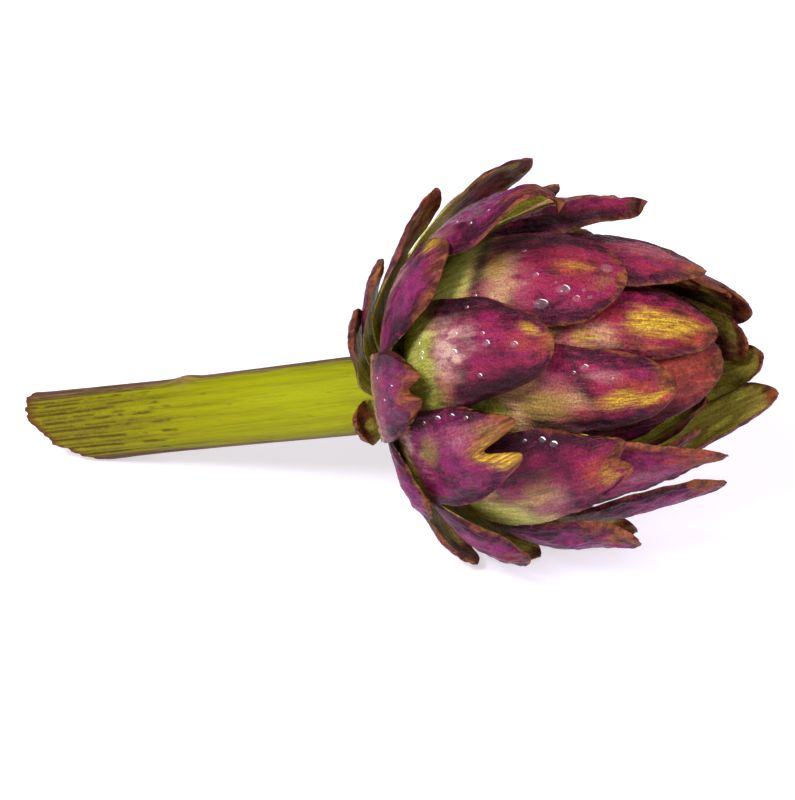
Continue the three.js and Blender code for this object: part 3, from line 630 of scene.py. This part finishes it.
# --------------------------------------------------------------------------
# Materials
# --------------------------------------------------------------------------
# The two shades of each colour of a bract (0 to 255), the pattern they
# alternate in, and where in that pattern one gives way to the other.
SHADES = {
    # lilac_and_highlight: a grey-mauve band of the skin, and painted highlights.
    "lilac_and_highlight": ((178, 124, 122), (140, 68, 92), "streak", 0.35, 0.65),
    "cream": ((190, 160, 112), (160, 116, 88), "fibre", 0.35, 0.65),
    "ash": ((206, 172, 156), (150, 96, 104), "mottle", 0.4, 0.6),
    "olive": ((150, 128, 50), (108, 92, 34), "streak", 0.35, 0.65),
    "green": ((108, 112, 34), (156, 152, 70), "streak", 0.3, 0.7),
    "lime": ((158, 162, 62), (196, 194, 110), "streak", 0.3, 0.7),
    "orange": ((152, 68, 42), (106, 38, 32), "mottle", 0.35, 0.65),
    "inside": ((208, 204, 84), (172, 154, 64), "streak", 0.35, 0.65),
    "rose": ((126, 56, 70), (88, 34, 40), "streak", 0.35, 0.65),
    "brown": ((128, 70, 38), (70, 28, 22), "mottle", 0.38, 0.62),
    "gold": ((192, 160, 44), (128, 86, 30), "fibre", 0.4, 0.62),
    # dark_and_shade: dark skin and dried tips, and painted shade.
    "dark_and_shade": ((28, 8, 16), (28, 8, 16), "streak", 0.0, 1.0),
}
RED_SKIN, VIOLET_SKIN = (120, 18, 52), (112, 22, 98)
# Flecks over a colour: their own colour, the pattern they follow, where in it
# they fade in, and how strong they are (a number or an attribute).
FLECKS = {
    # In the skin, the fleck on the shade pattern is painted shade: darker towards the edges of each bract
    # where the bracts overlap, over a random cloud.
    "skin": [((134, 30, 40), "streak", 0.35, 0.6, "red"), ((140, 34, 84), "streak", 0.3, 0.6, "magenta"),
             ((32, 4, 20), "shade", 0.42, 0.7, 0.92), ((30, 5, 18), "mottle", 0.5, 0.72, 0.42),
             ((148, 38, 82), "mottle", 0.48, 0.26, 0.5), ((160, 54, 94), "fibre", 0.5, 0.72, 0.25),
             ((164, 70, 92), "speck", 0.58, 0.7, 0.35)],
    "ash": [((138, 74, 92), "grain", 0.5, 0.65, 0.6)],
    "green": [((82, 80, 26), "mottle", 0.45, 0.7, 0.5)],
    "inside": [((90, 46, 30), "share", 0.93, 1.0, 0.7)],
    "brown": [((44, 18, 16), "grain", 0.55, 0.75, 0.5), ((172, 120, 60), "fibre", 0.55, 0.75, 0.5)],
}
# How the colours lie over one another, in this order: where each one's edge
# begins and ends, how much that edge wanders, and how strong the colour is.
COATS = {
    "lilac_and_highlight": (0.1, 1.0, 0.8, 0.7),
    "cream": (0.1, 1.0, 0.8, 0.85),
    "ash": (0.1, 0.9, 0.6, 0.9),
    "olive": (0.1, 1.0, 0.9, 0.85),
    "green": (0.1, 1.0, 0.5, 1.0),
    "lime": (0.1, 0.9, 0.5, 1.0),
    "orange": (0.1, 1.0, 0.9, 0.85),
    "rose": (0.1, 0.9, 0.6, 1.0),
    "brown": (0.2, 0.95, 0.5, 1.0),
    "gold": (0.15, 0.95, 0.8, 0.92),
    "dark_and_shade": (0.1, 1.0, 0.5, 0.9),
}
GRIT_LOW, GRIT_HIGH, GRIT = (0.46, 0.38, 0.42, 1), (1.5, 1.45, 1.42, 1), 0.75
WATER_LOW, WATER_HIGH, WATER_HIGHLIGHT = (0.85, 0.66, 0.72, 1), (0.95, 0.8, 0.82, 1), (1.0, 0.93, 0.93, 1)
STEM_COLOURS = {
    "low": (132, 131, 2), "high": (150, 154, 16), "streak": (102, 96, 14), "grain": (138, 134, 18),
    "old": (92, 78, 14), "old_grain": (118, 106, 26), "mauve": (112, 84, 66), "dull": (78, 54, 42),
    "line": (96, 92, 30), "groove": (66, 48, 18), "knob": (120, 92, 62), "singed": (92, 58, 24),
    "pith": (176, 172, 110), "flesh": (150, 140, 70), "dry_flesh": (98, 76, 38),
}


def srgb(r, g, b):
    def lin(c):
        c = c / 255
        return c / 12.92 if c <= 0.04045 else ((c + 0.055) / 1.055) ** 2.4
    return (lin(r), lin(g), lin(b), 1.0)


class Nodes:
    """A material with short names for the shader nodes used here."""

    def __init__(self, name):
        self.material = bpy.data.materials.new(name)
        self.material.use_nodes = True
        self.tree = self.material.node_tree
        self.tree.nodes.clear()
        out = self.tree.nodes.new("ShaderNodeOutputMaterial")
        self.shader = self.tree.nodes.new("ShaderNodeBsdfPrincipled")
        self.tree.links.new(self.shader.outputs[0], out.inputs[0])

    def put(self, socket, value):
        if isinstance(value, bpy.types.NodeSocket):
            self.tree.links.new(value, socket)
        else:
            socket.default_value = value

    def surface(self, **inputs):
        """Set the shader's own sockets, by name with _ for a space."""
        for name, value in inputs.items():
            self.put(self.shader.inputs[name.replace("_", " ")], value)

    def attr(self, name, vector=False):
        node = self.tree.nodes.new("ShaderNodeAttribute")
        node.attribute_name = name
        return node.outputs["Vector" if vector else "Fac"]

    def object_place(self):
        return self.tree.nodes.new("ShaderNodeTexCoord").outputs["Object"]

    def math(self, op, a, b=0.0, c=0.0):
        node = self.tree.nodes.new("ShaderNodeMath")
        node.operation = op
        for socket, value in zip(node.inputs, (a, b, c)):
            self.put(socket, value)
        return node.outputs[0]

    def part(self, fac, share):
        return self.math("MULTIPLY", fac, share)

    def wander(self, value, pattern, amount):
        """A value moved up and down by a pattern whose middle is 0.5."""
        return self.math("MULTIPLY_ADD", self.math("SUBTRACT", pattern, 0.5), amount, value)

    def ramp(self, value, low, high, start=0.0, end=1.0):
        node = self.tree.nodes.new("ShaderNodeMapRange")
        node.interpolation_type = "SMOOTHSTEP"
        for socket, x in zip(node.inputs, (value, low, high, start, end)):
            self.put(socket, x)
        return node.outputs[0]

    def mix(self, fac, a, b, kind="MIX"):
        node = self.tree.nodes.new("ShaderNodeMix")
        node.data_type, node.blend_type = "RGBA", kind
        self.put(node.inputs["Factor"], fac)
        colours = [s for s in node.inputs if s.type == "RGBA"]
        self.put(colours[0], a)
        self.put(colours[1], b)
        return next(s for s in node.outputs if s.type == "RGBA")

    def noise(self, vector, scale, detail=3.0, rough=0.5, stretch=(1, 1, 1)):
        node = self.tree.nodes.new("ShaderNodeMapping")
        self.put(node.inputs["Vector"], vector)
        node.inputs["Scale"].default_value = stretch
        tex = self.tree.nodes.new("ShaderNodeTexNoise")
        self.tree.links.new(node.outputs[0], tex.inputs["Vector"])
        tex.inputs["Scale"].default_value = scale
        tex.inputs["Detail"].default_value = detail
        tex.inputs["Roughness"].default_value = rough
        return tex.outputs["Fac"]

    def bump(self, height, strength, distance, normal=None):
        node = self.tree.nodes.new("ShaderNodeBump")
        node.inputs["Strength"].default_value = strength
        node.inputs["Distance"].default_value = distance
        self.put(node.inputs["Height"], height)
        if normal is not None:
            self.put(node.inputs["Normal"], normal)
        return node.outputs[0]


def bract_material():
    m = Nodes("bract_skin")
    leaf = m.attr("leaf", True)
    patterns = {
        "mottle": m.noise(leaf, 0.5, 4, 0.65, (1, 0.5, 1)),
        "streak": m.noise(leaf, 1.0, 4, 0.6, (1.1, 0.08, 1)),
        "fibre": m.noise(leaf, 1.0, 3, 0.7, (4.0, 0.3, 1)),
        "grain": m.noise(leaf, 2.2, 4, 0.7),
        "speck": m.noise(leaf, 4.2, 2, 0.5),
        "share": m.attr("share"),
    }
    cloud = m.noise(leaf, 0.16, 4, 0.6)
    # Painted shade: the skin darkens towards the edges of each bract, where the bracts overlap, over a
    # random cloud.
    towards_edge = m.ramp(m.math("ABSOLUTE", m.attr("side")), 0.45, 1.0)
    patterns["shade"] = m.math("MULTIPLY_ADD", towards_edge, 0.3, cloud)

    def flecked(tone, name):
        for colour, pattern, low, high, share in FLECKS.get(name, ()):
            share = m.attr(share) if isinstance(share, str) else share
            tone = m.mix(m.part(m.ramp(patterns[pattern], low, high), share), tone, srgb(*colour))
        return tone

    def shaded(name):
        first, second, pattern, low, high = SHADES[name]
        return flecked(m.mix(m.ramp(patterns[pattern], low, high), srgb(*first), srgb(*second)), name)

    inner = m.attr("inner")
    colour = flecked(m.mix(m.attr("violet"), srgb(*RED_SKIN), srgb(*VIOLET_SKIN)), "skin")
    for name, (low, high, wobble, strength) in COATS.items():
        if name == "rose":
            # the inner face, and the blush on it
            colour = m.mix(m.part(inner, 0.95), colour, shaded("inside"))
            strength = inner
        cover = m.ramp(m.wander(m.attr(name), patterns["streak"], wobble), low, high)
        colour = m.mix(m.part(cover, strength), colour, shaded(name))
    grit = m.mix(m.ramp(patterns["grain"], 0.32, 0.68), GRIT_LOW, GRIT_HIGH)

    dryness = m.math("ADD", patterns["mottle"], m.part(m.attr("brown"), 0.3))
    wrinkle = m.bump(m.noise(leaf, 0.8, 4, 0.6, (1.2, 0.45, 1)), 0.6, 0.0011)
    lines = m.bump(patterns["fibre"], 0.5, 0.0003, wrinkle)
    m.surface(Base_Color=m.mix(GRIT, colour, grit, "MULTIPLY"), Specular_IOR_Level=0.13,
              Roughness=m.ramp(dryness, 0.3, 0.9, 0.22, 0.42),
              Normal=m.bump(patterns["grain"], 0.8, 0.0003, lines))
    return m.material


def water_material():
    m = Nodes("water_drop")
    clear = m.mix(m.noise(m.object_place(), 300.0, 2), WATER_LOW, WATER_HIGH)
    # Painted highlight: the drops turn near-white and opaque on the side that faces the light.
    highlight = m.ramp(m.attr("drop_highlight"), 0.36, 0.7)
    m.surface(Base_Color=m.mix(highlight, clear, WATER_HIGHLIGHT), Alpha=m.ramp(highlight, 0.0, 1.0, 0.06, 0.95),
              Metallic=0.1, Roughness=0.16)
    return m.material


def stem_material():
    m = Nodes("stem_skin")
    ink = {name: srgb(*colour) for name, colour in STEM_COLOURS.items()}
    around = m.attr("around", True)
    long_streak = m.noise(around, 1.0, 4, 0.6, (0.03, 0.55, 0.55))
    fine = m.noise(around, 1.0, 4, 0.65, (0.08, 2.6, 2.6))
    grain = m.noise(around, 1.6, 4, 0.65)
    axial, cap = m.attr("axial"), m.attr("cap")

    # green skin, streaked and worn brown towards the cut
    streaked = m.ramp(axial, -62.0, -25.0, 1.0, 0.35)
    skin = m.mix(m.ramp(axial, -50.0, 0.0), ink["low"], ink["high"])
    skin = m.mix(m.part(m.ramp(long_streak, 0.4, 0.66), streaked), skin, ink["streak"])
    skin = m.mix(m.part(m.ramp(grain, 0.45, 0.75), 0.3), skin, ink["grain"])
    old = m.mix(m.ramp(grain, 0.35, 0.65), ink["old"], ink["old_grain"])
    skin = m.mix(m.part(m.attr("worn"), 0.7), skin, old)
    mauve = m.mix(m.ramp(fine, 0.4, 0.6), ink["mauve"], ink["dull"])
    skin = m.mix(m.ramp(m.wander(m.attr("mauve"), fine, 0.8), 0.2, 0.6), skin, mauve)
    skin = m.mix(m.part(m.ramp(fine, 0.52, 0.66), 0.3), skin, ink["line"])
    skin = m.mix(m.part(m.attr("groove"), m.part(streaked, 0.85)), skin, ink["groove"])
    skin = m.mix(m.part(m.attr("knob"), 0.8), skin, ink["knob"])
    near_cut = m.ramp(m.wander(m.attr("from_cut"), grain, 3.0), 0.3, 3.4, 1.0, 0.0)
    skin = m.mix(near_cut, skin, ink["singed"])

    # the cut face, paler in its middle
    cut = m.mix(m.ramp(grain, 0.35, 0.65), ink["flesh"], ink["dry_flesh"])
    cut = m.mix(m.ramp(cap, 0.55, 0.8), ink["pith"], cut)
    m.surface(Base_Color=m.mix(m.ramp(cap, 0.985, 0.999), cut, skin), Specular_IOR_Level=0.06,
              Roughness=m.ramp(grain, 0.3, 0.8, 0.42, 0.66),
              Normal=m.bump(grain, 0.3, 0.0003, m.bump(fine, 0.5, 0.0005)))
    return m.material


# --------------------------------------------------------------------------
# Make everything
# --------------------------------------------------------------------------
bract_skin, water_skin = bract_material(), water_material()
for index, (key, b) in enumerate(BRACTS.items()):
    piece = make_bract(key, b, index + 1, bract_skin, water_skin)
    node = "bract_" + key
    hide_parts(node)
    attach(piece, "root")
stem = make_stem(stem_material())
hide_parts("stem_and_heart")
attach(stem, "root")

# --------------------------------------------------------------------------
# Camera, floor, light
# --------------------------------------------------------------------------
AZIMUTH, ELEVATION, ROLL = 18.7, 30.1, -0.35
DISTANCE, LENS, FILM = 521.3, 100.0, 36.0
AIM_X, AIM_Y = 382.0, 392.65          # where the stem joint falls in the picture
WIDE, TALL = 795.0, 800.0             # size of the picture
FLOOR_HALF = 6.0
FLOOR_LOW, FLOOR_HIGH = (0.52, 0.47, 0.63, 1), (0.55, 0.5, 0.66, 1)
LIGHTS_AIM = (0.02, 0, 0.03)
LIGHTS = {                            # place in metres, width in metres, watts
    "key": ((-0.28, -0.78, 0.95), 0.4, 14),
    "glint": ((-0.45, -0.6, 0.9), 0.07, 3),
    "fill": ((0.9, -0.5, 1.0), 0.8, 14),
    "back": ((0.2, 1.0, 0.7), 0.8, 3),
}
SKY = 0.24


def make_camera():
    az, el, roll = map(math.radians, (AZIMUTH, ELEVATION, ROLL))
    back = np.array([math.sin(az) * math.cos(el), -math.cos(az) * math.cos(el), math.sin(el)])
    right = np.array([math.cos(az), math.sin(az), 0.0])
    up = np.cross(back, right)
    right, up = (right * math.cos(roll) + up * math.sin(roll), up * math.cos(roll) - right * math.sin(roll))
    mm_per_pixel = DISTANCE / (LENS / FILM * TALL)
    aside, above = (AIM_X - WIDE / 2) * mm_per_pixel, (AIM_Y - TALL / 2) * mm_per_pixel
    place_mm = JOINT + back * DISTANCE - right * aside + up * above
    data = bpy.data.cameras.new("camera")
    data.lens, data.sensor_width = LENS, FILM
    data.clip_start, data.clip_end = 0.01, 50
    camera = add_object("camera", data)
    turned = Matrix((right, up, back)).transposed().to_4x4()
    camera.matrix_world = Matrix.Translation(Vector(place_mm / 1000)) @ turned
    bpy.context.scene.camera = camera


def make_floor():
    m = Nodes("floor")
    tone = m.noise(m.object_place(), 3.0, 2, 0.5)
    m.surface(Base_Color=m.mix(tone, FLOOR_LOW, FLOOR_HIGH), Emission_Color=(1.0, 0.98, 1.0, 1.0),
              Emission_Strength=0.6, Roughness=0.9, Specular_IOR_Level=0.1)
    e = FLOOR_HALF
    mesh = bpy.data.meshes.new("floor")
    mesh.from_pydata([(-e, -e, 0), (e, -e, 0), (e, e, 0), (-e, e, 0)], [], [(0, 1, 2, 3)])
    mesh.materials.append(m.material)
    floor = add_object("floor", mesh)


def make_light(name, at, wide, watts):
    data = bpy.data.lights.new(name, "AREA")
    data.shape, data.size, data.energy = "DISK", wide, watts
    light = add_object(name, data)
    light.location = at
    light.rotation_mode = "QUATERNION"
    light.rotation_quaternion = (Vector(LIGHTS_AIM) - Vector(at)).to_track_quat("-Z", "Y")


make_camera()
make_floor()
for name, (at, wide, watts) in LIGHTS.items():
    make_light(name, at, wide, watts)
world = bpy.data.worlds.new("world")
bpy.context.scene.world = world
world.use_nodes = True
world.node_tree.nodes["Background"].inputs[0].default_value = (1, 1, 1, 1)
world.node_tree.nodes["Background"].inputs[1].default_value = SKY
view = bpy.context.scene.view_settings
view.view_transform, view.look = "Standard", "None"
view.exposure, view.gamma = 0.0, 1.0
